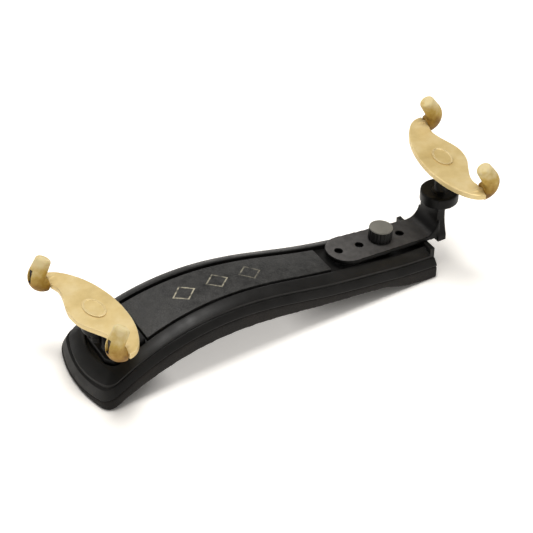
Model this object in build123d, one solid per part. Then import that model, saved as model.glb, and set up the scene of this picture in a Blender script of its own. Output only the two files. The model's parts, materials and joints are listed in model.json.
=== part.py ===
"""Violin shoulder rest: arched base on a foam pad, a fixed and an adjustable bracket,
and two turning forks whose rubber-covered hooks hold the edge of the instrument.

Frame: millimetres, +X along the rest from its wide end to its narrow end, +Z up.
The origin is the bottom centre of the whole rest.
"""
from build123d import *
from math import atan2, cos, degrees, radians, sin
import os

os.makedirs("parts", exist_ok=True)

# ---- driving dimensions ------------------------------------------------------------
START_X = -110.4         # the base's wide end, measured from the centre of the rest
BASE_LENGTH = 200.0
END_BULGE = 5.5          # the wide end is an arc that reaches this far past START_X
HALF_WIDTH_WIDE = 28.0
HALF_WIDTH_MIDDLE = 22.9
HALF_WIDTH_NARROW = 19.6
CORNER_RADIUS = 7.4
CORNER_TIGHTENING = 0.3  # of the inset, taken off the corner radius
# height of the crest and thickness of the foam, at every sixth of the length
CREST_HEIGHTS = (13.4, 28.2, 33.4, 30.2, 23.2, 18.2, 15.0)
FOAM_THICKNESS = (6.4, 7.8, 8.0, 7.0, 5.0, 4.6, 7.8)
WIDE_SLOPE = 0.54
NARROW_SLOPE = -0.06
BASE_DEPTH = 7.8         # crest to the underside of the moulding
FOAM_OVERHANG = 0.5
RAIL_INSET = 3.2         # outline to the foot of the rail
RAIL_SLOPE_WIDTH = 5.4
RAIL_DROP = 2.3          # the rail's outer edge is this much lower than the crest
CHANNEL_INSET = 9.6      # outline to the channel between the rails
CHANNEL_DEPTH = 2.6
LEDGE_DROP = 3.9
SKIRT_SLOPE_WIDTH = 2.4
SKIRT_DROP = 3.3
GROOVE = 2.2             # gap between a rail and the top panel
PANEL_START = 28.5       # from the wide end
PANEL_END = 139.0
PANEL_THICKNESS = 2.5
END_WALL = 2.6           # wall across the narrow end, just under the foot plate
END_WALL_HEIGHT = 17.35
RIBS = (14, 46, 78, 110, 142)
RIB_THICKNESS = 2.2
POCKET_DEPTH = 2.7       # hollow under the moulding, closed by the foam
POCKET_SIDE_WALL = 2.0   # past the foot of the rail
POCKET_END_WALL = 4.0
BOSS_WALL = 2.0

KNOB_FROM_START = 175.0
PLATE_TILT = 4.5         # degrees, down towards the narrow end
PLATE_HEIGHT = 19.4      # underside of the foot plate at the knob's axis
PLATE_THICKNESS = 2.6
PLATE_HOLES = (-26.0, -13.0, 0.0, 13.0)
PLATE_HOLE_RADIUS = 2.2
PLATE_END = 32.0         # from the knob's axis to the upright
PLATE_NOSE_RADIUS = 11.6
PLATE_NOSE_BACK = 5.0    # from the first hole to the middle of the nose
PLATE_NARROW_HALF = 9.6
INSERT_RADIUS = 3.6
INSERT_LENGTH = 7.5
SEAT_RADIUS = 6.2
SEAT_DEPTH = 8.0
KNOB_RADIUS = 6.5
KNOB_HEIGHT = 6.4
KNOB_CAP = 0.9
KNOB_FLUTES = 20
FLUTE_RADIUS = 0.6
FLUTE_OUT = 0.25         # centres of the flutes outside the knob's radius
CAP_INSET = 0.1
CAP_ROUND = 0.3
KNOB_SCREW_RADIUS = 2.0
KNOB_SCREW_LENGTH = 14.5
WASHER_RADIUS = 5.0
WASHER_THICKNESS = 0.6

UPRIGHT_DEPTH = 5.4
UPRIGHT_INNER = 6.4      # from the fork's screw axis to the upright's inner face
UPRIGHT_WAIST = 0.78     # of the head's radius
UPRIGHT_WAIST_HEIGHT = 0.7
UPRIGHT_STEP = 3.5       # straight part above the bottom
UPRIGHT_DROP = 2.2       # below the foot plate's end
UPRIGHT_GUSSET = 8.0     # radius of the hollow between foot plate and upright
LEFT_HEAD_RADIUS = 7.2
RIGHT_HEAD_RADIUS = 10.5
HEAD_HEIGHT = 6.5
HEAD_ROUND = 1.0
HEAD_OVERHANG = 1.6
LEFT_HEAD_TOP = 37.2
RIGHT_HEAD_TOP = 41.4
LEFT_FOOT_START = 6.8
LEFT_FOOT_END = 27.0
FOOT_THICKNESS = 4.6
FOOT_CLEARANCE = 1.0     # beside the foot, in the channel
FIXING_FROM_START = 21.0
FIXING_RADIUS = 1.5
FIXING_HEAD_RADIUS = 2.9
FIXING_HEAD_HEIGHT = 1.6
FIXING_HEAD_ROUND = 0.7
FIXING_HEAD_CLEARANCE = 0.4
CROSS_LENGTH = 3.2
CROSS_WIDTH = 0.6
CROSS_DEPTH = 0.7
DRIVER_ROOM = 20.0       # cleared above the fixing screw
FIXING_LENGTH = 6.6
NUT_RADIUS = 2.9
NUT_HEIGHT = 2.2

LEFT_SCREW_FROM_START = 7.9
RIGHT_SCREW_FROM_START = 212.8
LEFT_FORK_HEIGHT = 40.2  # underside of the left fork's leaf
RIGHT_FORK_HEIGHT = 59.3
LEFT_FORK_TURN = 189.0
RIGHT_FORK_TURN = -9.0
HUB_HEIGHT = 1.5
HUB_RADIUS = 6.5
STUD_RADIUS = 2.9
LEFT_STUD_LENGTH = 19.5
RIGHT_STUD_LENGTH = 30.0
STUD_IN_LEAF = 1.9
BUSHING_RADIUS = 4.2
RUNNING_CLEARANCE = 0.05
STUD_WAY_CLEARANCE = 0.5
END_CHAMFER = 0.4        # on the ends of studs and screws

LEAF_THICKNESS = 3.0
HOOK_HALF_SPAN = 33.9
HOOK_START = 5.9         # outward distance where the bend begins
NECK_END = 6.2
NECK_WIDTH = 10.4
HOOK_RADIUS = 5.1        # centre line of the bend
HOOK_LEAN = 122.7        # degrees turned by the bend
HOOK_ARM = 8.4
HOOK_CORE_RADIUS = 2.3
HOOK_CORE_TIP_RADIUS = 2.0
HOOK_CORE_ARM = 6.6
SLEEVE_RADIUS = 4.6
SLEEVE_TIP_RADIUS = 4.0
SLEEVE_TIP_ROUND = 1.6
SLEEVE_START = 6.0       # degrees into the bend
SLOT_WIDTH = 2.4
SLOT_LENGTH = 8.0
SLOT_HEIGHT = 9.8
SLOT_DEPTH = 1.7
EMBLEM = (5.0, 8.0)      # half axes of the raised oval on the leaf
EMBLEM_HEIGHT = 0.7
EMBLEM_RIM = 0.9
EMBLEM_FLOOR = 0.4

TOP = 120.0              # higher than anything in the rest
RUN_ON = 25.0            # how far the arch's lines carry on past both ends
NARROW_RUN_ON = 12.0     # how far the plan carries on past the narrow end before it is cut
JOINING = 1.0            # how far joined shapes reach into each other
UPWARDS = (Align.CENTER, Align.CENTER, Align.MIN)
DOWNWARDS = (Align.CENTER, Align.CENTER, Align.MAX)
CENTRE_Y = 1.1           # puts the origin under the middle of the turned forks as well


# ---- places ------------------------------------------------------------------------
def station(distance):
    """X of a point this far from the base's wide end."""
    return START_X + distance


def sloping_frame(distance, height, slope):
    """Plane at a height above the table, with its own X leaning up by slope degrees."""
    a = radians(slope)
    origin = (station(distance), 0, height)
    return Plane(origin=origin, x_dir=(cos(a), 0, sin(a)), z_dir=(-sin(a), 0, cos(a)))


def fork_frame(distance, height, turn):
    """Plane under a fork's leaf with its own X pointing away from the rest's middle."""
    a = radians(turn)
    return Plane(origin=(station(distance), 0, height), x_dir=(cos(a), sin(a), 0), z_dir=(0, 0, 1))


def block(x_from, x_to):
    """Slab across the whole rest between two distances from the wide end."""
    return Pos(station((x_from + x_to) / 2), 0, 0) * Box(x_to - x_from, 2 * TOP, 2 * TOP)


# ---- arch and outline --------------------------------------------------------------
def arch_points(heights):
    step = BASE_LENGTH / (len(heights) - 1)
    return [(station(i * step), h) for i, h in enumerate(heights)]


def crest_at(distance):
    """Height and slope in degrees of the crest at a distance from the wide end."""
    crest = Spline(*arch_points(CREST_HEIGHTS), tangents=[(1, WIDE_SLOPE), (1, NARROW_SLOPE)])
    low, high = 0.0, 1.0
    for _ in range(40):
        middle = (low + high) / 2
        if (crest @ middle).X < station(distance):
            low = middle
        else:
            high = middle
    direction = crest % low
    return (crest @ low).Y, degrees(atan2(direction.Y, direction.X))


def under_curve(heights):
    """Everything below an arch given by its heights, as a solid wider than the rest."""
    points = arch_points(heights)
    floor = -TOP / 2
    first = (points[0][0] - RUN_ON, points[0][1] - RUN_ON * WIDE_SLOPE)
    last = (points[-1][0] + RUN_ON, points[-1][1] + RUN_ON * NARROW_SLOPE)
    with BuildSketch(Plane.XZ) as region:
        with BuildLine():
            Spline(*points, tangents=[(1, WIDE_SLOPE), (1, NARROW_SLOPE)])
            Polyline(points[-1], last, (last[0], floor), (first[0], floor), first, points[0])
        make_face()
    return extrude(region.sketch, amount=TOP / 2, both=True)


def below_crest(drop):
    return under_curve([h - drop for h in CREST_HEIGHTS])


def outline(inset):
    """Plan of the base, brought in by inset, as a tall prism running past the narrow end."""
    tip = station(-END_BULGE) + inset
    corner = station(0) + inset
    end = station(BASE_LENGTH) + NARROW_RUN_ON
    middle_x = station(BASE_LENGTH / 2)
    wide = HALF_WIDTH_WIDE - inset
    middle = HALF_WIDTH_MIDDLE - inset
    narrow = HALF_WIDTH_NARROW - inset
    with BuildSketch() as plan:
        with BuildLine():
            ThreePointArc((corner, wide), (middle_x, middle), (end, narrow))
            Line((end, narrow), (end, -narrow))
            ThreePointArc((end, -narrow), (middle_x, -middle), (corner, -wide))
            ThreePointArc((corner, -wide), (tip, 0), (corner, wide))
        make_face()
        corners = plan.vertices().sort_by(Axis.X)[:2]
        fillet(corners, CORNER_RADIUS - CORNER_TIGHTENING * inset)
    return extrude(plan.sketch, amount=TOP)


def past_narrow_end():
    return block(BASE_LENGTH, BASE_LENGTH + TOP)


KNOB = sloping_frame(KNOB_FROM_START, PLATE_HEIGHT, -PLATE_TILT)
LEFT_FORK = fork_frame(LEFT_SCREW_FROM_START, LEFT_FORK_HEIGHT, LEFT_FORK_TURN)
RIGHT_FORK = fork_frame(RIGHT_SCREW_FROM_START, RIGHT_FORK_HEIGHT, RIGHT_FORK_TURN)
FIXING_CREST, FIXING_SLOPE = crest_at(FIXING_FROM_START)
FIXING = sloping_frame(FIXING_FROM_START, FIXING_CREST, FIXING_SLOPE)
FOOT_TOP = FOOT_THICKNESS - CHANNEL_DEPTH


# ---- base --------------------------------------------------------------------------
def bevel_top(solid, across, down):
    """Slope the long top edges of a solid that ends under the crest."""
    top_face = solid.faces().sort_by(Axis.Z)[-1]
    limit = station(BASE_LENGTH) + NARROW_RUN_ON / 2
    edges = top_face.edges().filter_by(lambda edge: edge.center().X < limit)
    return chamfer(edges, across, down, reference=top_face)


def rails_and_skirt():
    """The moulding before its channel is cut: sloping skirt, ledge and sloping rails."""
    skirt = (outline(0) & below_crest(LEDGE_DROP)) - below_crest(BASE_DEPTH)
    rail = (outline(RAIL_INSET) & below_crest(0)) - below_crest(BASE_DEPTH - JOINING)
    return bevel_top(skirt, SKIRT_SLOPE_WIDTH, SKIRT_DROP) + bevel_top(rail, RAIL_SLOPE_WIDTH, RAIL_DROP)


def underside_pocket():
    """Hollow under the moulding, crossed by ribs and by the two screw bosses."""
    roof = BASE_DEPTH - POCKET_DEPTH
    pocket = outline(RAIL_INSET + POCKET_SIDE_WALL) & below_crest(roof)
    pocket -= below_crest(BASE_DEPTH + JOINING)
    pocket -= block(BASE_LENGTH - POCKET_END_WALL, BASE_LENGTH + TOP)
    for x in RIBS:
        pocket -= block(x - RIB_THICKNESS / 2, x + RIB_THICKNESS / 2)
    pocket -= Pos(0, 0, TOP / 2) * Box(2 * BASE_LENGTH, RIB_THICKNESS, TOP)
    pocket -= KNOB * Cylinder(SEAT_RADIUS, TOP)
    pocket -= FIXING * Cylinder(NUT_RADIUS + BOSS_WALL, TOP)
    return pocket


def end_wall():
    wall = outline(RAIL_INSET) & block(BASE_LENGTH - END_WALL, BASE_LENGTH)
    wall -= Pos(0, 0, END_WALL_HEIGHT + TOP) * Box(4 * TOP, 4 * TOP, 2 * TOP)
    return wall - below_crest(BASE_DEPTH - JOINING)


def base():
    body = rails_and_skirt() - (outline(CHANNEL_INSET) - below_crest(CHANNEL_DEPTH))
    body = body - past_narrow_end() - underside_pocket()
    body += KNOB * Cylinder(SEAT_RADIUS, SEAT_DEPTH, align=DOWNWARDS)
    body += end_wall()
    body -= KNOB * Cylinder(INSERT_RADIUS, INSERT_LENGTH, align=DOWNWARDS)
    body -= FIXING * Cylinder(FIXING_RADIUS, TOP)
    return body - fixing_nut_space()


def top_panel():
    """Curved panel lying in the channel, narrower than it by a groove on each side."""
    plate = outline(CHANNEL_INSET + GROOVE) & below_crest(CHANNEL_DEPTH - PANEL_THICKNESS)
    return (plate - below_crest(CHANNEL_DEPTH)) & block(PANEL_START, PANEL_END)


def foam_pad():
    """Foam under the moulding, level with the table at its two ends."""
    underside = under_curve([h - BASE_DEPTH - f for h, f in zip(CREST_HEIGHTS, FOAM_THICKNESS)])
    pad = (outline(-FOAM_OVERHANG) & below_crest(BASE_DEPTH)) - underside
    return pad - past_narrow_end()


# ---- fixing of the left bracket and seat of the knob --------------------------------
def fixing_nut_space():
    """Room for the nut, open at the underside of the moulding."""
    height = BASE_DEPTH - FIXING_LENGTH + NUT_HEIGHT
    return FIXING * Pos(0, 0, -BASE_DEPTH) * extrude(RegularPolygon(NUT_RADIUS, 6), amount=height)


def left_bracket_nut():
    nut = extrude(RegularPolygon(NUT_RADIUS, 6), amount=NUT_HEIGHT) - Cylinder(FIXING_RADIUS, TOP)
    return FIXING * Pos(0, 0, -FIXING_LENGTH) * nut


def left_bracket_screw():
    """Pan-head screw down through the foot and the moulding."""
    shank = Cylinder(FIXING_RADIUS, FOOT_TOP + FIXING_LENGTH, align=DOWNWARDS)
    pan = Cylinder(FIXING_HEAD_RADIUS, FIXING_HEAD_HEIGHT, align=UPWARDS)
    pan = fillet(pan.faces().sort_by(Axis.Z)[-1].edges(), FIXING_HEAD_ROUND)
    arm = Pos(0, 0, FIXING_HEAD_HEIGHT) * Box(CROSS_LENGTH, CROSS_WIDTH, 2 * CROSS_DEPTH)
    cross = arm + Rot(0, 0, 90) * arm
    return FIXING * Pos(0, 0, FOOT_TOP) * (shank + pan - cross)


def knob_insert():
    bush = Cylinder(INSERT_RADIUS, INSERT_LENGTH)
    bush -= Cylinder(KNOB_SCREW_RADIUS + RUNNING_CLEARANCE, INSERT_LENGTH)
    return KNOB * Pos(0, 0, -INSERT_LENGTH / 2) * bush


# ---- brackets ----------------------------------------------------------------------
def upright(axis_x, side, bottom, head_top, head_radius):
    """Waisted upright under a head; side is +1 when its outer face is at +X."""
    top = head_top - JOINING
    step = bottom + UPRIGHT_STEP
    waist_height = bottom + UPRIGHT_WAIST_HEIGHT * (top - HEAD_HEIGHT - bottom)
    foot = head_radius
    waist = UPRIGHT_WAIST * head_radius
    neck = head_radius - HEAD_OVERHANG
    with BuildSketch(Plane.YZ) as face:
        with BuildLine():
            Polyline((-foot, step), (-foot, bottom), (foot, bottom), (foot, step))
            Spline((foot, step), (waist, waist_height), (neck, top))
            Line((neck, top), (-neck, top))
            Spline((-neck, top), (-waist, waist_height), (-foot, step))
        make_face()
    web = extrude(face.sketch, amount=UPRIGHT_DEPTH / 2, both=True)
    return Pos(axis_x - side * (UPRIGHT_INNER - UPRIGHT_DEPTH / 2), 0, 0) * web


def head(axis_x, head_top, radius):
    """Round head with its top edge eased."""
    disc = Cylinder(radius, HEAD_HEIGHT, align=DOWNWARDS)
    return Pos(axis_x, 0, head_top) * fillet(disc.faces().sort_by(Axis.Z)[-1].edges(), HEAD_ROUND)


def bush_space(axis_x, head_top):
    """Socket for the threaded bush, with a way down past the upright for the stud."""
    socket = Cylinder(BUSHING_RADIUS, 2 * HEAD_HEIGHT)
    way = Cylinder(STUD_RADIUS + STUD_WAY_CLEARANCE, TOP, align=DOWNWARDS)
    return Pos(axis_x, 0, head_top) * (socket + way)


def foot_plate():
    """Flat plate with a round nose and a row of holes, tapering to the upright."""
    nose_x = PLATE_HOLES[0] + PLATE_NOSE_BACK
    with BuildSketch(KNOB) as plate:
        with BuildLine():
            Line((PLATE_END, -PLATE_NARROW_HALF), (nose_x, -PLATE_NOSE_RADIUS))
            ThreePointArc(
                (nose_x, -PLATE_NOSE_RADIUS),
                (nose_x - PLATE_NOSE_RADIUS, 0),
                (nose_x, PLATE_NOSE_RADIUS),
            )
            Line((nose_x, PLATE_NOSE_RADIUS), (PLATE_END, PLATE_NARROW_HALF))
            Line((PLATE_END, PLATE_NARROW_HALF), (PLATE_END, -PLATE_NARROW_HALF))
        make_face()
        with Locations(*[(x, 0) for x in PLATE_HOLES]):
            Circle(PLATE_HOLE_RADIUS, mode=Mode.SUBTRACT)
    return extrude(plate.sketch, amount=PLATE_THICKNESS)


def gusset(corner_x, height):
    """Hollow-faced filling in the corner between the foot plate and the upright."""
    near = corner_x - UPRIGHT_GUSSET
    far = corner_x + JOINING
    near_top = height + UPRIGHT_GUSSET * sin(radians(PLATE_TILT))
    low = height - JOINING
    high = height + UPRIGHT_GUSSET
    with BuildSketch(Plane.XZ) as side_view:
        with BuildLine():
            Polyline((near, near_top), (near, low), (far, low), (far, high), (corner_x, high))
            RadiusArc((corner_x, high), (near, near_top), UPRIGHT_GUSSET)
        make_face()
    return extrude(side_view.sketch, amount=PLATE_NARROW_HALF, both=True)


def right_bracket():
    bottom = PLATE_HEIGHT - sin(radians(PLATE_TILT)) * PLATE_END - UPRIGHT_DROP
    axis_x = station(RIGHT_SCREW_FROM_START)
    bracket = foot_plate() + upright(axis_x, 1, bottom, RIGHT_HEAD_TOP, RIGHT_HEAD_RADIUS)
    bracket += head(axis_x, RIGHT_HEAD_TOP, RIGHT_HEAD_RADIUS)
    bracket += gusset(axis_x - UPRIGHT_INNER, bottom + UPRIGHT_DROP + PLATE_THICKNESS)
    return bracket - bush_space(axis_x, RIGHT_HEAD_TOP)


def left_bracket():
    """Foot lying in the channel, with an upright and head like the right bracket's."""
    axis_x = station(LEFT_SCREW_FROM_START)
    foot = (outline(CHANNEL_INSET + FOOT_CLEARANCE) & below_crest(-FOOT_TOP)) - below_crest(CHANNEL_DEPTH)
    foot = foot & block(LEFT_FOOT_START, LEFT_FOOT_END)
    crest = crest_at(LEFT_SCREW_FROM_START)[0]
    post = upright(axis_x, -1, crest - JOINING, LEFT_HEAD_TOP, LEFT_HEAD_RADIUS)
    post -= below_crest(CHANNEL_DEPTH)
    stud_way = bush_space(axis_x, LEFT_HEAD_TOP) - below_crest(-FOOT_TOP)
    bracket = foot + post + head(axis_x, LEFT_HEAD_TOP, LEFT_HEAD_RADIUS) - stud_way
    seat = Cylinder(FIXING_HEAD_RADIUS + FIXING_HEAD_CLEARANCE, DRIVER_ROOM, align=UPWARDS)
    return bracket - FIXING * (Pos(0, 0, FOOT_TOP) * seat + Cylinder(FIXING_RADIUS, DRIVER_ROOM))


def bushing(axis_x, head_top):
    """Threaded bush through a bracket's head, flush with both its faces."""
    bush = Cylinder(BUSHING_RADIUS, HEAD_HEIGHT)
    bush -= Cylinder(STUD_RADIUS + RUNNING_CLEARANCE, HEAD_HEIGHT)
    return Pos(axis_x, 0, head_top - HEAD_HEIGHT / 2) * bush


def stud(frame, length):
    """Threaded post that carries a fork."""
    post = Pos(0, 0, STUD_IN_LEAF - length / 2) * Cylinder(STUD_RADIUS, length)
    return frame * chamfer(post.edges().filter_by(GeomType.CIRCLE), END_CHAMFER)


# ---- forks -------------------------------------------------------------------------
def leaf():
    """Oval plate narrowing to a neck at each end; the necks sweep outwards."""
    neck_far = HOOK_HALF_SPAN + NECK_WIDTH / 2
    neck_near = HOOK_HALF_SPAN - NECK_WIDTH / 2
    inner = [(-11.2, 13.0), (-8.4, 23.5), (-4.2, 32.0), (0.6, 37.4), (NECK_END, neck_far)]
    outer = [(NECK_END, neck_near), (5.5, 24.5), (6.8, 18.5), (9.4, 12.0), (11.7, 5.5)]
    inner_line = [(x, -y) for x, y in reversed(inner)] + [(-12.3, 0)] + inner
    outer_line = outer + [(12.2, 0)] + [(x, -y) for x, y in reversed(outer)]
    with BuildSketch() as plan:
        with BuildLine():
            Spline(*inner_line)
            Line(inner_line[-1], outer_line[0])
            Spline(*outer_line)
            Line(outer_line[-1], inner_line[0])
        make_face()
    return extrude(plan.sketch, amount=LEAF_THICKNESS)


def hook_bar(y, radius, tip_radius, bend_start, arm_length):
    """Round bar round a hook's bend from an angle on, and up its leaning arm."""
    middle = LEAF_THICKNESS / 2
    axis = Axis((HOOK_START, y, middle + HOOK_RADIUS), (0, -1, 0))
    section = Plane(origin=(HOOK_START, y, middle), z_dir=(1, 0, 0)) * Circle(radius)
    bend = revolve(section, axis, revolution_arc=HOOK_LEAN - bend_start).rotate(axis, bend_start)
    lean = radians(HOOK_LEAN)
    arm_x = HOOK_START + HOOK_RADIUS * sin(lean)
    arm_z = middle + HOOK_RADIUS * (1 - cos(lean))
    along = Plane(origin=(arm_x, y, arm_z), z_dir=(cos(lean), 0, sin(lean)))
    return bend + along * Cone(radius, tip_radius, arm_length, align=UPWARDS)


def core(y):
    """The hook's metal bar with its tapered root in the neck."""
    bar = hook_bar(y, HOOK_CORE_RADIUS, HOOK_CORE_TIP_RADIUS, 0, HOOK_CORE_ARM)
    root = Cone(LEAF_THICKNESS / 2, HOOK_CORE_RADIUS, HOOK_START, align=DOWNWARDS)
    return bar + Plane(origin=(HOOK_START, y, LEAF_THICKNESS / 2), z_dir=(1, 0, 0)) * root


def fork(frame):
    body = leaf() + Pos(0, 0, -HUB_HEIGHT / 2) * Cylinder(HUB_RADIUS, HUB_HEIGHT)
    body += core(-HOOK_HALF_SPAN) + core(HOOK_HALF_SPAN)
    bore_length = STUD_IN_LEAF + HUB_HEIGHT
    bore = Cylinder(STUD_RADIUS + RUNNING_CLEARANCE, bore_length)
    return frame * (body - Pos(0, 0, STUD_IN_LEAF - bore_length / 2) * bore)


def sleeve(frame, side):
    """Closed rubber tube over a hook, with a relief slot at its back."""
    y = side * HOOK_HALF_SPAN
    tube = hook_bar(y, SLEEVE_RADIUS, SLEEVE_TIP_RADIUS, SLEEVE_START, HOOK_ARM)
    tip = tube.edges().filter_by(GeomType.CIRCLE).sort_by(Axis.Z)[-1]
    tube = fillet(tip, SLEEVE_TIP_ROUND)
    back = HOOK_START + HOOK_RADIUS + SLEEVE_RADIUS
    inwards = (Align.MIN, Align.CENTER, Align.CENTER)
    slot = Box(SLEEVE_RADIUS, SLOT_WIDTH, SLOT_LENGTH, align=inwards)
    slot = Pos(back - SLOT_DEPTH, y, SLOT_HEIGHT) * slot
    return frame * (tube - slot - core(y))


def emblem(frame):
    """Plain raised oval with a rim at the middle of the leaf."""
    along, across = EMBLEM[1], EMBLEM[0]
    dish = Ellipse(across - EMBLEM_RIM, along - EMBLEM_RIM)
    oval = extrude(Ellipse(across, along), amount=EMBLEM_HEIGHT)
    oval -= Pos(0, 0, EMBLEM_FLOOR) * extrude(dish, amount=EMBLEM_HEIGHT)
    return frame * Pos(0, 0, LEAF_THICKNESS) * oval


# ---- knob --------------------------------------------------------------------------
def knob():
    """Fluted thumb-knob with a blind bore for its screw."""
    body = Cylinder(KNOB_RADIUS, KNOB_HEIGHT, align=UPWARDS)
    with PolarLocations(KNOB_RADIUS + FLUTE_OUT, KNOB_FLUTES) as flutes:
        cutters = [place * Cylinder(FLUTE_RADIUS, 3 * KNOB_HEIGHT) for place in flutes]
    for cutter in cutters:
        body -= cutter
    depth = KNOB_SCREW_LENGTH - INSERT_LENGTH - PLATE_THICKNESS - WASHER_THICKNESS
    bore = Cylinder(KNOB_SCREW_RADIUS + RUNNING_CLEARANCE, depth, align=UPWARDS)
    return KNOB * Pos(0, 0, PLATE_THICKNESS + WASHER_THICKNESS) * (body - bore)


def knob_cap():
    disc = Cylinder(KNOB_RADIUS - CAP_INSET, KNOB_CAP, align=UPWARDS)
    disc = fillet(disc.faces().sort_by(Axis.Z)[-1].edges(), CAP_ROUND)
    return KNOB * Pos(0, 0, PLATE_THICKNESS + WASHER_THICKNESS + KNOB_HEIGHT) * disc


def knob_screw():
    post = Cylinder(KNOB_SCREW_RADIUS, KNOB_SCREW_LENGTH, align=UPWARDS)
    return KNOB * Pos(0, 0, -INSERT_LENGTH) * chamfer(post.edges().filter_by(GeomType.CIRCLE), END_CHAMFER)


def knob_washer():
    ring = Cylinder(WASHER_RADIUS, WASHER_THICKNESS) - Cylinder(KNOB_SCREW_RADIUS, WASHER_THICKNESS)
    return KNOB * Pos(0, 0, PLATE_THICKNESS + WASHER_THICKNESS / 2) * ring


# ---- all nodes ---------------------------------------------------------------------
def all_nodes():
    nodes = {
        "base": base(),
        "foam_pad": foam_pad(),
        "top_panel": top_panel(),
        "left_bracket": left_bracket(),
        "left_bracket_screw": left_bracket_screw(),
        "left_bracket_nut": left_bracket_nut(),
        "right_bracket": right_bracket(),
        "knob_insert": knob_insert(),
        "knob": knob(),
        "knob_cap": knob_cap(),
        "knob_screw": knob_screw(),
        "knob_washer": knob_washer(),
    }
    nodes["left_bushing"] = bushing(station(LEFT_SCREW_FROM_START), LEFT_HEAD_TOP)
    nodes["right_bushing"] = bushing(station(RIGHT_SCREW_FROM_START), RIGHT_HEAD_TOP)
    nodes["left_stud"] = stud(LEFT_FORK, LEFT_STUD_LENGTH)
    nodes["right_stud"] = stud(RIGHT_FORK, RIGHT_STUD_LENGTH)
    for name, frame in (("left", LEFT_FORK), ("right", RIGHT_FORK)):
        back = 1 if name == "right" else -1
        nodes[name + "_fork"] = fork(frame)
        nodes[name + "_fork_emblem"] = emblem(frame)
        nodes[name + "_back_sleeve"] = sleeve(frame, back)
        nodes[name + "_front_sleeve"] = sleeve(frame, -back)
    return nodes


def main():
    for name, shape in all_nodes().items():
        solid = shape.solids()[0] if len(shape.solids()) == 1 else Compound(shape.solids())
        export_step(Pos(0, CENTRE_Y, 0) * solid, "parts/" + name + ".step")


if __name__ == "__main__":
    main()
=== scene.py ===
import json
import math

import bmesh
import bpy
from mathutils import Matrix, Vector


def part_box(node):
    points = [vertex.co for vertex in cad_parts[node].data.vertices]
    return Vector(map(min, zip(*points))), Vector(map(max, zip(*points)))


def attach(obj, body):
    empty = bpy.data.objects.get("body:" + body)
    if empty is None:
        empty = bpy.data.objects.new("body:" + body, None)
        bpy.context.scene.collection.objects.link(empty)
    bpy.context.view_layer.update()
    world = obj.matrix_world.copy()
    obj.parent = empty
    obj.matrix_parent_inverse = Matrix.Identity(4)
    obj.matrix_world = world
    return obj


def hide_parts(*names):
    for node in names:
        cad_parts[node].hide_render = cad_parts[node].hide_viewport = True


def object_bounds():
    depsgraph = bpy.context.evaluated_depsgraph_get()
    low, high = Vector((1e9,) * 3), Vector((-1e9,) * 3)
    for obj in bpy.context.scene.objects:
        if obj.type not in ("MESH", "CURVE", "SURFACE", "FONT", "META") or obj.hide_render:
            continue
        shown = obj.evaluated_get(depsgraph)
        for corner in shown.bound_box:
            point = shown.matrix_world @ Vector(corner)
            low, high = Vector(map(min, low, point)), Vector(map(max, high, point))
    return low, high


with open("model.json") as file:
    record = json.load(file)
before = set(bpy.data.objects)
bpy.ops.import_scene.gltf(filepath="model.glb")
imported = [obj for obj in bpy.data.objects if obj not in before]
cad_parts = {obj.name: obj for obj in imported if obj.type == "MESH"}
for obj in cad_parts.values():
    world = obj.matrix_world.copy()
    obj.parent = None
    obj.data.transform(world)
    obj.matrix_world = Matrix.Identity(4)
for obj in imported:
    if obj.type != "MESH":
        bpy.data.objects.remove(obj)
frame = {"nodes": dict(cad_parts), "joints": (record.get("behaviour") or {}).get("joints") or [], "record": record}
cad_low, cad_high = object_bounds()
scene = bpy.context.scene
nodes = frame["nodes"]
joints = {joint["name"]: joint for joint in frame["joints"]}
mounts = {mount["name"]: mount for mount in frame["record"]["mounts"]}
body_of_node = {
    node: body
    for body, members in frame["record"]["behaviour"]["bodies"].items()
    for node in members
}

MM = 0.001
WELD_DISTANCE = 0.002 * MM    # joins the corners that the frame's meshes split

CAMERA_AZIMUTH = -30.0
CAMERA_ELEVATION = 38.4
CAMERA_DISTANCE = 850 * MM
CAMERA_LENS = 110.3
CAMERA_TARGET = Vector((-2.7 * MM, 5.5 * MM, 26.7 * MM))
CAMERA_SENSOR = 36

STUD_RADIUS = 2.9 * MM
STUD_PITCH = 1.0 * MM
KNOB_SCREW_RADIUS = 2.0 * MM
KNOB_SCREW_PITCH = 0.7 * MM
THREAD_SIDES = 40
THREAD_ROWS = 8               # in one turn
THREAD_DEPTH = 0.6            # of the pitch
THREAD_LEAD_IN = 0.8          # of the pitch, at each end
LEAD_IN_SLOPE = 0.9
CREST_GAIN = 1.25             # flattens the crests
CREST_DROP = 0.06             # flattens the roots

# where the slot at the back of a sleeve gets painted shade
RECESS_SHADE_HALF = 1.1 * MM
RECESS_SHADE_FOOT = 0.3 * MM        # above the jaw's middle
RECESS_SHADE_FROM = 7.6 * MM        # outwards from where the hook's bend begins

EDGE_SHARP = 0.93             # cosine between the rounded and the plain normal
EDGE_FLAT = 0.995
HIGHLIGHT_TOP = 0.5               # of the node's height: no painted highlight from here up
HIGHLIGHT_FULL = 0.4              # full painted highlight from here down
HIGHLIGHT_FADE = 0.75             # of the node's length, where the painted highlight is faintest

LOZENGES = 3
LOZENGE_HALF = (6.0 * MM, 5.4 * MM)
LOZENGE_LINE = 0.12           # of the way from the lozenge's middle to its line
LOZENGE_START = 28.5 * MM     # from the panel's end to the first lozenge's middle
LOZENGE_STEP = 19.0 * MM

FLOOR_REACH = 3.0
FLOOR_GAP = 0.05 * MM
CONTACT_REACH = 14 * MM
LIGHT_AIM = (0, 0, 0.02)
LIGHT_SIZE = 0.5
LIGHT_COLOUR = (1.0, 0.985, 0.96)
HORIZON = (0.12, 0.9)         # where the sky's gradient starts, and its brightness there
ZENITH = (0.4, 0.26)


# ---------------------------------------------------------------- materials


def heights(node):
    low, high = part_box(node)
    return low.z, high.z


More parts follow.
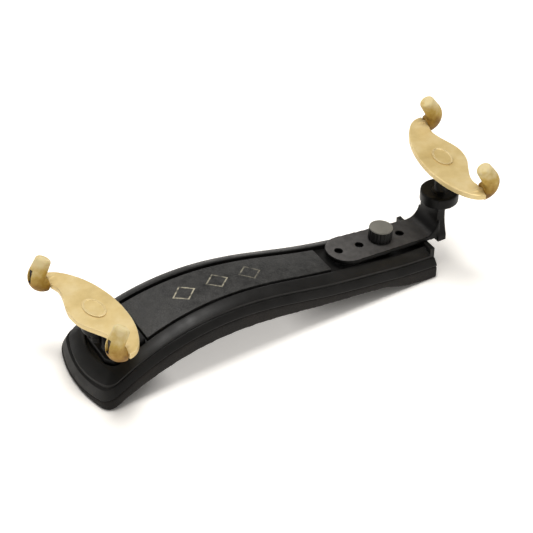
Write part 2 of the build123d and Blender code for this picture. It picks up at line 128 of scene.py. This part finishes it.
class Finish:
    """A material and the few calls that build its node tree."""

    def __init__(self, name):
        self.material = bpy.data.materials.new(name)
        self.material.use_nodes = True
        self.tree = self.material.node_tree
        self.surface = self.tree.nodes["Principled BSDF"]
        self.place = self.node("ShaderNodeTexCoord").outputs["Object"]

    def node(self, kind, **settings):
        made = self.tree.nodes.new(kind)
        for name, value in settings.items():
            setattr(made, name, value)
        return made

    def join(self, source, socket):
        self.tree.links.new(source, socket)

    def set(self, **values):
        for name, value in values.items():
            self.surface.inputs[name.replace("_", " ")].default_value = value

    def noise(self, scale, detail=3.0, roughness=0.55, place=None):
        made = self.node("ShaderNodeTexNoise")
        made.inputs["Scale"].default_value = scale
        made.inputs["Detail"].default_value = detail
        made.inputs["Roughness"].default_value = roughness
        self.join(place or self.place, made.inputs["Vector"])
        return made.outputs["Fac"]

    def cells(self, scale):
        made = self.node("ShaderNodeTexVoronoi")
        made.inputs["Scale"].default_value = scale
        self.join(self.place, made.inputs["Vector"])
        return made.outputs["Distance"]

    def stretched(self, x, y, z):
        made = self.node("ShaderNodeMapping")
        made.inputs["Scale"].default_value = (x, y, z)
        self.join(self.place, made.inputs["Vector"])
        return made.outputs["Vector"]

    def axis(self, letter):
        made = self.node("ShaderNodeSeparateXYZ")
        self.join(self.place, made.inputs["Vector"])
        return made.outputs[letter]

    def math(self, operation, first, second=None):
        made = self.node("ShaderNodeMath", operation=operation)
        for socket, value in zip(made.inputs, (first, second)):
            if value is None:
                continue
            if isinstance(value, (int, float)):
                socket.default_value = value
            else:
                self.join(value, socket)
        return made.outputs["Value"]

    def ramp(self, source, *stops):
        made = self.node("ShaderNodeValToRGB")
        ramp = made.color_ramp
        while len(ramp.elements) < len(stops):
            ramp.elements.new(0.5)
        for element, (place, colour) in zip(ramp.elements, stops):
            element.position = place
            element.color = (*colour, 1)
        self.join(source, made.inputs["Fac"])
        return made.outputs["Color"]

    def level(self, source, low, high, out_low, out_high):
        made = self.node("ShaderNodeMapRange")
        for name, value in zip(
            ("From Min", "From Max", "To Min", "To Max"), (low, high, out_low, out_high)
        ):
            made.inputs[name].default_value = value
        self.join(source, made.inputs["Value"])
        return made.outputs["Result"]

    def mix(self, share, first, second):
        made = self.node("ShaderNodeMix", data_type="RGBA")
        colours = [s for s in made.inputs if s.type == "RGBA"]
        self.join(share, made.inputs["Factor"])
        for socket, value in zip(colours, (first, second)):
            if isinstance(value, tuple):
                socket.default_value = (*value, 1)
            else:
                self.join(value, socket)
        return [s for s in made.outputs if s.type == "RGBA"][0]

    def bump(self, *layers):
        """Stacks (height, strength, distance) layers and puts them on the surface's normal."""
        last = None
        for height, strength, distance in layers:
            made = self.node("ShaderNodeBump")
            made.inputs["Strength"].default_value = strength
            made.inputs["Distance"].default_value = distance
            self.join(height, made.inputs["Height"])
            if last is not None:
                self.join(last, made.inputs["Normal"])
            last = made.outputs["Normal"]
        self.join(last, self.surface.inputs["Normal"])

    def edges(self, radius):
        """1 along a sharp edge and 0 on an open face."""
        rounded = self.node("ShaderNodeBevel", samples=4)
        rounded.inputs["Radius"].default_value = radius
        plain = self.node("ShaderNodeNewGeometry")
        made = self.node("ShaderNodeVectorMath", operation="DOT_PRODUCT")
        self.join(rounded.outputs["Normal"], made.inputs[0])
        self.join(plain.outputs["Normal"], made.inputs[1])
        return self.level(made.outputs["Value"], EDGE_SHARP, EDGE_FLAT, 1.0, 0.0)

    def colour(self, source):
        self.join(source, self.surface.inputs["Base Color"])

    def roughness(self, source):
        self.join(source, self.surface.inputs["Roughness"])


def painted_top_highlight(made, body, colour, node):
    """Greys a node's low upward faces as a painted highlight, in patches, less towards its +X end."""
    split = made.node("ShaderNodeSeparateXYZ")
    made.join(made.node("ShaderNodeNewGeometry").outputs["Normal"], split.inputs["Vector"])
    upward = made.level(split.outputs["Z"], 0.80, 0.95, 0.0, 1.0)
    low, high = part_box(node)
    full = low.lerp(high, HIGHLIGHT_FULL).z
    none = low.lerp(high, HIGHLIGHT_TOP).z
    faintest = low.lerp(high, HIGHLIGHT_FADE).x
    share = made.math("MULTIPLY", upward, made.level(made.axis("Z"), full, none, 1.0, 0.0))
    for fading in (
        made.level(made.noise(240.0, 4.0, 0.65), 0.3, 0.7, 0.6, 1.0),
        made.level(made.axis("X"), low.x, faintest, 1.0, 0.3),
    ):
        share = made.math("MULTIPLY", share, fading)
    return made.mix(share, body, colour)


def moulded(
    name, dark, light, rough=(0.36, 0.52), grain=1700.0, depth=0.05, shine=0.24, top_highlight_node=None
):
    """Injection moulded plastic: spark grain, cloudy colour, and edges painted a little brighter, partly rubbed
    wear and partly painted highlight.
    """
    made = Finish(name)
    cloud = made.noise(55.0, 4.0)
    body = made.ramp(cloud, (0.3, dark), (0.72, light))
    # rubbed wear and painted highlight: the brighter colour of the sharp edges
    rubbed = tuple(min(1.0, 1.9 * c + 0.012) for c in light)
    fleck = made.ramp(made.noise(900.0, 2.0), (0.42, (0, 0, 0)), (0.7, (1, 1, 1)))
    share = made.math("MULTIPLY", made.edges(0.45 * MM), 0.55)
    share = made.math("MULTIPLY", share, fleck)
    if top_highlight_node:
        # painted highlight: the node's low upward faces are greyed
        body = painted_top_highlight(made, body, (0.104, 0.099, 0.096), top_highlight_node)
    made.colour(made.mix(share, body, rubbed))
    made.roughness(made.level(made.noise(130.0, 5.0), 0.3, 0.7, *rough))
    made.bump(
        (made.noise(grain, 2.0), 0.35, depth * MM),
        (made.noise(120.0, 2.0), 0.1, 0.15 * MM),
    )
    made.set(Specular_IOR_Level=shine)
    return made.material


def lozenge(made, along, across):
    """1 on the thin outline of a printed lozenge at a place on the panel."""
    x = made.math("ABSOLUTE", made.math("SUBTRACT", made.axis("X"), along))
    y = made.math("ABSOLUTE", made.math("SUBTRACT", made.axis("Y"), across))
    reach = made.math(
        "ADD",
        made.math("DIVIDE", x, LOZENGE_HALF[0]),
        made.math("DIVIDE", y, LOZENGE_HALF[1]),
    )
    off_line = made.math("ABSOLUTE", made.math("SUBTRACT", reach, 1.0))
    return made.level(off_line, 0.5 * LOZENGE_LINE, LOZENGE_LINE, 1.0, 0.0)


def pebbled(made, pebbles, blotch):
    """Cloudy grey with the tops of the pebbles worn paler."""
    body = made.ramp(blotch, (0.33, (0.007, 0.0069, 0.0066)), (0.66, (0.034, 0.0333, 0.0317)))
    worn = made.ramp(pebbles, (0.1, (1, 1, 1)), (0.55, (0, 0, 0)))
    cloud = made.noise(60.0, 5.0, 0.6)
    share = made.math("MULTIPLY", worn, made.level(cloud, 0.4, 0.65, 0.1, 0.6))
    return made.mix(share, body, (0.075, 0.073, 0.069))


def printed_lozenges(made):
    """How much of the print is left: patchy, and more worn away towards the narrow end."""
    low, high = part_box("top_panel")
    first = low.x + LOZENGE_START
    last = first + (LOZENGES - 1) * LOZENGE_STEP
    across = (low.y + high.y) / 2
    printed = lozenge(made, first, across)
    for step in range(1, LOZENGES):
        mark = lozenge(made, first + step * LOZENGE_STEP, across)
        printed = made.math("MAXIMUM", printed, mark)
    patchy = made.level(made.noise(420.0, 4.0), 0.38, 0.62, 0.15, 1.0)
    rubbed = made.level(made.axis("X"), first, last, 1.0, 0.35)
    return made.math("MULTIPLY", made.math("MULTIPLY", printed, patchy), rubbed)


def panel_finish():
    """The centre panel: a pebble grain with plain lozenges printed in dull champagne."""
    made = Finish("panel_grain")
    pebbles = made.cells(1150.0)
    blotch = made.noise(260.0, 4.0, 0.65)
    grained = pebbled(made, pebbles, blotch)
    made.colour(made.mix(printed_lozenges(made), grained, (0.50, 0.46, 0.34)))
    made.roughness(made.level(blotch, 0.3, 0.7, 0.38, 0.60))
    made.bump(
        (made.math("SUBTRACT", 1.0, pebbles), 0.55, 0.16 * MM),
        (made.noise(2600.0, 2.0), 0.25, 0.04 * MM),
    )
    made.set(Specular_IOR_Level=0.36)
    return made.material


def foam_finish():
    """Closed cell foam: small pits painted darker as shade, in a dull, slightly fuzzy skin."""
    made = Finish("closed_cell_foam")
    cells = made.cells(1500.0)
    cloud = made.noise(70.0, 4.0)
    body = made.ramp(cloud, (0.3, (0.006, 0.0054, 0.0048)), (0.75, (0.015, 0.0125, 0.0105)))
    # painted shade: the cell pits are darker
    pit_shade = made.ramp(cells, (0.0, (0, 0, 0)), (0.35, (1, 1, 1)))
    made.colour(made.mix(pit_shade, (0.004, 0.0035, 0.003), body))
    made.roughness(made.level(cloud, 0.3, 0.7, 0.82, 0.95))
    made.bump((cells, 0.6, 0.22 * MM), (made.noise(320.0, 3.0), 0.3, 0.2 * MM))
    made.set(Sheen_Weight=0.08, Sheen_Roughness=0.6, Specular_IOR_Level=0.15)
    return made.material


def gold_finish():
    """Satin gold anodising over a bead-blasted casting, its edges painted paler: partly rubbed wear, partly
    painted highlight.
    """
    made = Finish("satin_gold")
    cloud = made.noise(75.0, 4.0)
    body = made.ramp(
        cloud, (0.28, (0.58, 0.425, 0.165)), (0.5, (0.70, 0.535, 0.24)), (0.75, (0.80, 0.65, 0.355))
    )
    # rubbed wear and painted highlight: the sharp edges are paler
    share = made.math("MULTIPLY", made.edges(0.6 * MM), 0.6)
    made.colour(made.mix(share, body, (0.88, 0.78, 0.54)))
    made.roughness(made.level(made.noise(260.0, 5.0), 0.3, 0.7, 0.38, 0.52))
    made.bump(
        (made.noise(3200.0, 2.0), 0.3, 0.03 * MM),
        (made.noise(180.0, 3.0), 0.2, 0.12 * MM),
    )
    made.set(Metallic=0.35, Specular_IOR_Level=0.5)
    return made.material


def rubber_finish(name, foot, tip):
    """The soft sleeves: dark brown gold at the foot as painted shade, paler and greyer at the tip as painted
    highlight.
    """
    made = Finish(name)
    cloud = made.noise(160.0, 4.0)
    # painted shade and highlight: darker low on the sleeve, paler up high
    height = made.level(made.axis("Z"), foot, tip, 0.0, 1.0)
    painted_light_and_mottle = made.math("ADD", height, made.level(made.noise(240.0, 3.0), 0.3, 0.7, -0.16, 0.16))
    body = made.ramp(
        painted_light_and_mottle,
        (0.05, (0.15, 0.068, 0.005)),
        (0.35, (0.32, 0.175, 0.020)),
        (0.62, (0.50, 0.335, 0.075)),
        (0.95, (0.66, 0.54, 0.28)),
    )
    # painted shade: the slot at the back of the sleeve is made near black
    recess_shade = made.node("ShaderNodeAttribute", attribute_name="recess_shade").outputs["Fac"]
    made.colour(made.mix(recess_shade, body, (0.010, 0.005, 0.002)))
    made.roughness(made.level(cloud, 0.3, 0.7, 0.48, 0.62))
    made.bump(
        (made.noise(2100.0, 3.0), 0.35, 0.05 * MM),
        (made.noise(330.0, 2.0), 0.25, 0.12 * MM),
    )
    made.set(
        Specular_IOR_Level=0.32,
        Subsurface_Weight=0.12,
        Subsurface_Radius=(0.9, 0.5, 0.2),
        Subsurface_Scale=1.2 * MM,
    )
    return made.material


def steel_finish():
    """Zinc plated steel, cloudy, with fine drawn lines."""
    made = Finish("zinc_steel")
    cloud = made.noise(210.0, 4.0)
    made.colour(made.ramp(cloud, (0.3, (0.42, 0.42, 0.43)), (0.75, (0.62, 0.61, 0.60))))
    lines = made.noise(2400.0, 2.0, place=made.stretched(1, 1, 0.15))
    made.roughness(made.level(lines, 0.3, 0.7, 0.22, 0.36))
    made.bump((lines, 0.15, 0.02 * MM))
    made.set(Metallic=1.0)
    return made.material


def blackened_finish(name, dark, light, rough):
    """Black oxide over turned or rolled steel."""
    made = Finish(name)
    cloud = made.noise(260.0, 4.0)
    made.colour(made.ramp(cloud, (0.3, dark), (0.75, light)))
    lines = made.noise(1800.0, 2.0, place=made.stretched(0.2, 0.2, 1))
    made.roughness(made.level(lines, 0.3, 0.7, *rough))
    made.bump((lines, 0.2, 0.02 * MM))
    made.set(Metallic=0.6)
    return made.material


bracket_black = ((0.0022, 0.0021, 0.002), (0.0052, 0.005, 0.0047))
finishes = {
    "moulding": moulded("base_plastic", (0.004, 0.0038, 0.0035), (0.011, 0.0104, 0.0097)),
    "bracket": moulded("bracket_plastic", *bracket_black, rough=(0.32, 0.46), shine=0.12),
    # the foot plate's top carries a painted highlight
    "foot_plate": moulded(
        "foot_plate_plastic_painted_highlight",
        *bracket_black,
        rough=(0.34, 0.48),
        shine=0.12,
        top_highlight_node="right_bracket",
    ),
    "knob": moulded(
        "knob_plastic",
        (0.003, 0.003, 0.0028),
        (0.007, 0.0067, 0.0063),
        rough=(0.4, 0.55),
        shine=0.2,
    ),
    "knob_cap": moulded(
        "knob_cap_plastic",
        (0.11, 0.106, 0.092),
        (0.18, 0.173, 0.152),
        rough=(0.5, 0.65),
        grain=1400.0,
        depth=0.07,
    ),
    "panel": panel_finish(),
    "foam": foam_finish(),
    "fork": gold_finish(),
    "sleeve": rubber_finish("low_hook_rubber", *heights("left_back_sleeve")),
    "high_sleeve": rubber_finish("high_hook_rubber", *heights("right_back_sleeve")),
    "steel": steel_finish(),
    "bush": blackened_finish(
        "blackened_bush", (0.012, 0.0115, 0.011), (0.028, 0.026, 0.024), (0.34, 0.5)
    ),
    "stud": blackened_finish(
        "black_oxide", (0.016, 0.0155, 0.015), (0.035, 0.0335, 0.031), (0.30, 0.44)
    ),
}


# ---------------------------------------------------------------- pieces


def paint(piece, name, look=None):
    """Gives a piece the finish of a material slot, or another look of the same slot."""
    piece.data.materials.clear()
    piece.data.materials.append(finishes[look or name])


def settled(piece):
    """Works the piece's modifiers into its mesh."""
    graph = bpy.context.evaluated_depsgraph_get()
    mesh = bpy.data.meshes.new_from_object(piece.evaluated_get(graph))
    piece.modifiers.clear()
    piece.data = mesh


def placed(name, mesh):
    piece = bpy.data.objects.new(name, mesh)
    scene.collection.objects.link(piece)
    return piece


def copied(node, name):
    """A new object with the node's own surface, its split corners joined again."""
    mesh = nodes[node].data.copy()
    mesh.materials.clear()
    work = bmesh.new()
    work.from_mesh(mesh)
    bmesh.ops.remove_doubles(work, verts=work.verts, dist=WELD_DISTANCE)
    work.to_mesh(mesh)
    work.free()
    return placed(name, mesh)


def stands_for(piece, node):
    """Puts the piece on the node's body and hides the node."""
    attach(piece, body_of_node[node])
    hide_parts(node)


def softened(node, name, voxel, rounds, finish, look=None):
    """The node remade with the small radii that moulding or casting leaves on every edge."""
    piece = copied(node, name)
    remesh = piece.modifiers.new("remesh", "REMESH")
    remesh.mode = "VOXEL"
    remesh.voxel_size = voxel * MM
    smooth = piece.modifiers.new("smooth", "SMOOTH")
    smooth.factor = 0.5
    smooth.iterations = rounds
    settled(piece)
    for face in piece.data.polygons:
        face.use_smooth = True
    paint(piece, finish, look)
    stands_for(piece, node)
    return piece


def paint_recess_shade(piece, mount):
    """Paints shade into the slot at the back of a sleeve, found from the jaw it belongs to."""
    jaw = Vector(mounts[mount]["pos_m"])
    outwards = -Vector(mounts[mount]["axis"])
    sideways = Vector((0, 0, 1)).cross(outwards)
    mesh = piece.data
    recess_shade = mesh.attributes.new("recess_shade", "FLOAT", "POINT")
    for vertex in mesh.vertices:
        offset = vertex.co - jaw
        across = abs(offset.dot(sideways))
        if offset.dot(outwards) > RECESS_SHADE_FROM and across < RECESS_SHADE_HALF and offset.z > RECESS_SHADE_FOOT:
            recess_shade.data[vertex.index].value = 1.0


def thread_reach(z, share, length, radius, pitch):
    """How far a threaded rod reaches from its axis, at a height and a share of the way round."""
    to_end = min(z + length / 2, length / 2 - z)
    lead_in = max(0.0, THREAD_LEAD_IN * pitch - to_end) * LEAD_IN_SLOPE
    phase = (z / pitch - share) % 1
    crest = CREST_GAIN * (1 - abs(2 * phase - 1)) - CREST_DROP
    crest = min(1.0, max(0.0, crest))
    return min(radius - lead_in, radius - THREAD_DEPTH * pitch * (1 - crest))


def threaded_rod(name, length, radius, pitch):
    """An upright rod with a helical thread, its middle at the origin."""
    rows = max(THREAD_ROWS, round(length / pitch * THREAD_ROWS))
    work = bmesh.new()
    rings = []
    for row in range(rows + 1):
        z = length * (row / rows - 0.5)
        ring = []
        for step in range(THREAD_SIDES):
            share = step / THREAD_SIDES
            angle = math.tau * share
            reach = thread_reach(z, share, length, radius, pitch)
            ring.append(work.verts.new((reach * math.cos(angle), reach * math.sin(angle), z)))
        rings.append(ring)
    for lower, upper in zip(rings, rings[1:]):
        for step in range(THREAD_SIDES):
            after = (step + 1) % THREAD_SIDES
            work.faces.new((lower[step], lower[after], upper[after], upper[step]))
    work.faces.new(reversed(rings[0]))
    work.faces.new(rings[-1])
    mesh = bpy.data.meshes.new(name)
    work.to_mesh(mesh)
    work.free()
    for face in mesh.polygons:
        face.use_smooth = len(face.vertices) == 4
    return mesh


def threaded(name, node, joint, radius, pitch, finish):
    """A threaded rod along the joint's axis, as long as the CAD rod and in its place."""
    low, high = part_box(node)
    axis = Vector(joints[joint]["axis"]).normalized()
    if axis.z < 0:
        axis = -axis
    tilt_spread = 2 * radius * math.hypot(axis.x, axis.y)
    length = (high.z - low.z - tilt_spread) / axis.z
    turn = Vector((0, 0, 1)).rotation_difference(axis).to_matrix().to_4x4()
    mesh = threaded_rod(name, length, radius, pitch)
    mesh.transform(Matrix.Translation((low + high) / 2) @ turn)
    piece = placed(name, mesh)
    paint(piece, finish)
    stands_for(piece, node)


def kept(node, finish, radius=0.0):
    """A CAD node that is right as it is, with its finish and, where radius is set, round edges."""
    piece = nodes[node]
    paint(piece, finish)
    if radius:
        weld = piece.modifiers.new("weld", "WELD")
        weld.merge_threshold = WELD_DISTANCE
        flat = piece.modifiers.new("flat", "DECIMATE")
        flat.decimate_type = "DISSOLVE"
        flat.angle_limit = math.radians(0.6)
        bevel = piece.modifiers.new("bevel", "BEVEL")
        bevel.width = radius * MM
        bevel.segments = 3
        bevel.limit_method = "ANGLE"
        bevel.angle_limit = math.radians(24)
        bevel.harden_normals = True


kept("base", "moulding", 0.4)
kept("top_panel", "panel", 0.3)
for node in ("left_bushing", "right_bushing", "knob_insert"):
    kept(node, "bush")
kept("knob_washer", "steel", 0.1)
kept("left_bracket_nut", "steel", 0.15)
softened("left_bracket_screw", "fixing_screw", 0.16, 3, finish="steel")

softened("left_bracket", "wide_end_bracket", 0.32, 8, finish="bracket")
softened(
    "right_bracket", "narrow_end_bracket", 0.36, 8, finish="bracket", look="foot_plate"
)
softened("knob", "thumb_knob", 0.16, 4, finish="knob")
softened("knob_cap", "thumb_knob_cap", 0.16, 5, finish="knob_cap")

for side, sleeve_look in (("left", "sleeve"), ("right", "high_sleeve")):
    softened(f"{side}_fork", f"{side}_fork_casting", 0.3, 9, finish="fork")
    softened(f"{side}_fork_emblem", f"{side}_fork_oval", 0.14, 4, finish="fork")
    for row in ("back", "front"):
        sleeve = softened(
            f"{side}_{row}_sleeve",
            f"{side}_{row}_rubber_sleeve",
            0.2,
            6,
            finish="sleeve",
            look=sleeve_look,
        )
        paint_recess_shade(sleeve, f"{side}_{row}_jaw")
    threaded(
        f"{side}_threaded_stud",
        f"{side}_stud",
        f"{side}_fork_turn",
        STUD_RADIUS,
        STUD_PITCH,
        "stud",
    )
threaded(
    "knob_threaded_screw",
    "knob_screw",
    "knob_turn",
    KNOB_SCREW_RADIUS,
    KNOB_SCREW_PITCH,
    "stud",
)

pad = softened("foam_pad", "shoulder_foam", 0.56, 16, finish="foam")


# ---------------------------------------------------------------- stage


def softbox(name, place, power):
    data = bpy.data.lights.new(name, "AREA")
    data.shape = "DISK"
    data.size = LIGHT_SIZE
    data.energy = power
    data.color = LIGHT_COLOUR
    lamp = bpy.data.objects.new(name, data)
    lamp.location = place
    aim = Vector(LIGHT_AIM) - Vector(place)
    lamp.rotation_euler = aim.to_track_quat("-Z", "Y").to_euler()
    scene.collection.objects.link(lamp)


def paper_finish():
    """White paper with a painted glow, and less of it where something is close above it: a painted contact shadow.
    """
    made = Finish("paper_sweep_painted_glow")
    made.colour(
        made.ramp(made.noise(3.0), (0.3, (0.93, 0.915, 0.89)), (0.7, (0.95, 0.935, 0.91)))
    )
    made.set(
        Roughness=0.9,
        Specular_IOR_Level=0.1,
        Emission_Color=(1.0, 0.965, 0.92, 1),
    )
    # painted contact shadow: the glow drops where the object is close above
    open_air = made.node("ShaderNodeAmbientOcclusion", samples=12)
    open_air.inputs["Distance"].default_value = CONTACT_REACH
    painted_glow_and_shadow = made.level(open_air.outputs["AO"], 0.45, 0.95, 0.02, 0.40)
    made.join(painted_glow_and_shadow, made.surface.inputs["Emission Strength"])
    return made.material


def studio_floor():
    mesh = bpy.data.meshes.new("floor")
    corners = [(-1, -1), (1, -1), (1, 1), (-1, 1)]
    mesh.from_pydata(
        [(FLOOR_REACH * x, FLOOR_REACH * y, 0) for x, y in corners], [], [(0, 1, 2, 3)]
    )
    floor = placed("studio_floor", mesh)
    floor.location.z = cad_low.z - FLOOR_GAP
    floor.data.materials.append(paper_finish())


def studio_sky():
    """A soft sky that is bright at the horizon and dimmer overhead."""
    world = bpy.data.worlds.new("studio_world")
    scene.world = world
    world.use_nodes = True
    tree = world.node_tree
    direction = tree.nodes.new("ShaderNodeTexCoord")
    split = tree.nodes.new("ShaderNodeSeparateXYZ")
    sky = tree.nodes.new("ShaderNodeValToRGB")
    for element, (place, shade) in zip(sky.color_ramp.elements, (HORIZON, ZENITH)):
        element.position = place
        element.color = (shade, 0.985 * shade, 0.96 * shade, 1)
    tree.links.new(direction.outputs["Generated"], split.inputs["Vector"])
    tree.links.new(split.outputs["Z"], sky.inputs["Fac"])
    tree.links.new(sky.outputs["Color"], tree.nodes["Background"].inputs["Color"])


def camera():
    azimuth = math.radians(CAMERA_AZIMUTH)
    elevation = math.radians(CAMERA_ELEVATION)
    back = Vector(
        (
            math.sin(azimuth) * math.cos(elevation),
            -math.cos(azimuth) * math.cos(elevation),
            math.sin(elevation),
        )
    )
    data = bpy.data.cameras.new("camera")
    data.sensor_width = CAMERA_SENSOR
    data.lens = CAMERA_LENS
    made = bpy.data.objects.new("camera", data)
    made.location = CAMERA_TARGET + back * CAMERA_DISTANCE
    made.rotation_mode = "QUATERNION"
    made.rotation_quaternion = (-back).to_track_quat("-Z", "Y")
    scene.collection.objects.link(made)
    scene.camera = made


studio_floor()
studio_sky()
softbox("overhead_softbox", (0.05, 0.02, 1.1), 9.0)
softbox("rear_softbox", (-0.2, 0.85, 0.95), 2.6)
camera()
scene.view_settings.view_transform = "Standard"
